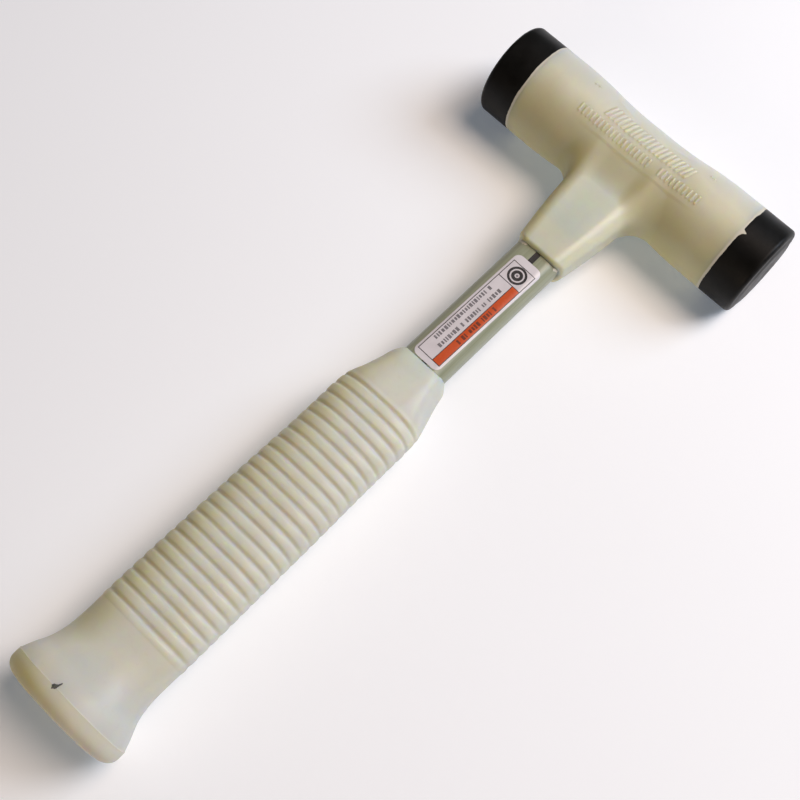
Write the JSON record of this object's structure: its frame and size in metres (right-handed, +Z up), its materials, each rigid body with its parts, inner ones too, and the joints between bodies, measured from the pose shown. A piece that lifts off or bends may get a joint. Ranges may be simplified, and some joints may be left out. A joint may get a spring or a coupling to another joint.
{
  "type": "soft-face mallet",
  "caption": "Hand mallet with a waisted cream head, black tips on both ends, a flat fibreglass handle and a ribbed cream grip with a flared butt.",
  "frame": {"origin": "on the surface that the mallet lies on, under the middle of its box", "axes": "+X along the head from the left striking face to the right one, +Y along the handle from the butt to the head, +Z up from the surface"},
  "size_m": [0.13, 0.3115, 0.0381],
  "materials": {
    "cream_casing": "satin moulded polymer, cream",
    "cream_grip": "satin moulded polymer, cream",
    "black_face": "hard black rubber, satin",
    "fibreglass": "pultruded glass fibre and resin, grey green",
    "dark_tracer": "dark yarn set in resin",
    "label_film": "printed film",
    "plain_steel": "plain drawn steel",
    "zinc_steel": "zinc plated",
    "weld_steel": "as welded",
    "epoxy": "cured epoxy",
    "steel_shot": "dull steel shot"
  },
  "bodies": {
    "mallet": {"head_body": "cream_casing", "grip": "cream_grip", "face_left": "black_face", "face_right": "black_face", "handle_core": "fibreglass", "tracer_strip": "dark_tracer", "label": "label_film", "shot_canister": "plain_steel", "canister_cap_left": "plain_steel", "canister_cap_right": "plain_steel", "anchor_stud_left": "zinc_steel", "anchor_stud_right": "zinc_steel", "handle_socket": "plain_steel", "socket_weld": "weld_steel", "core_bond": "epoxy"},
    "shot": {"shot_charge": "steel_shot"}
  },
  "joints": [
    {"name": "shot_slide", "type": "slide", "parent": "mallet", "child": "shot", "axis": [1, 0, 0], "range_m": [-0.0062, 0.0062]}
  ]
}
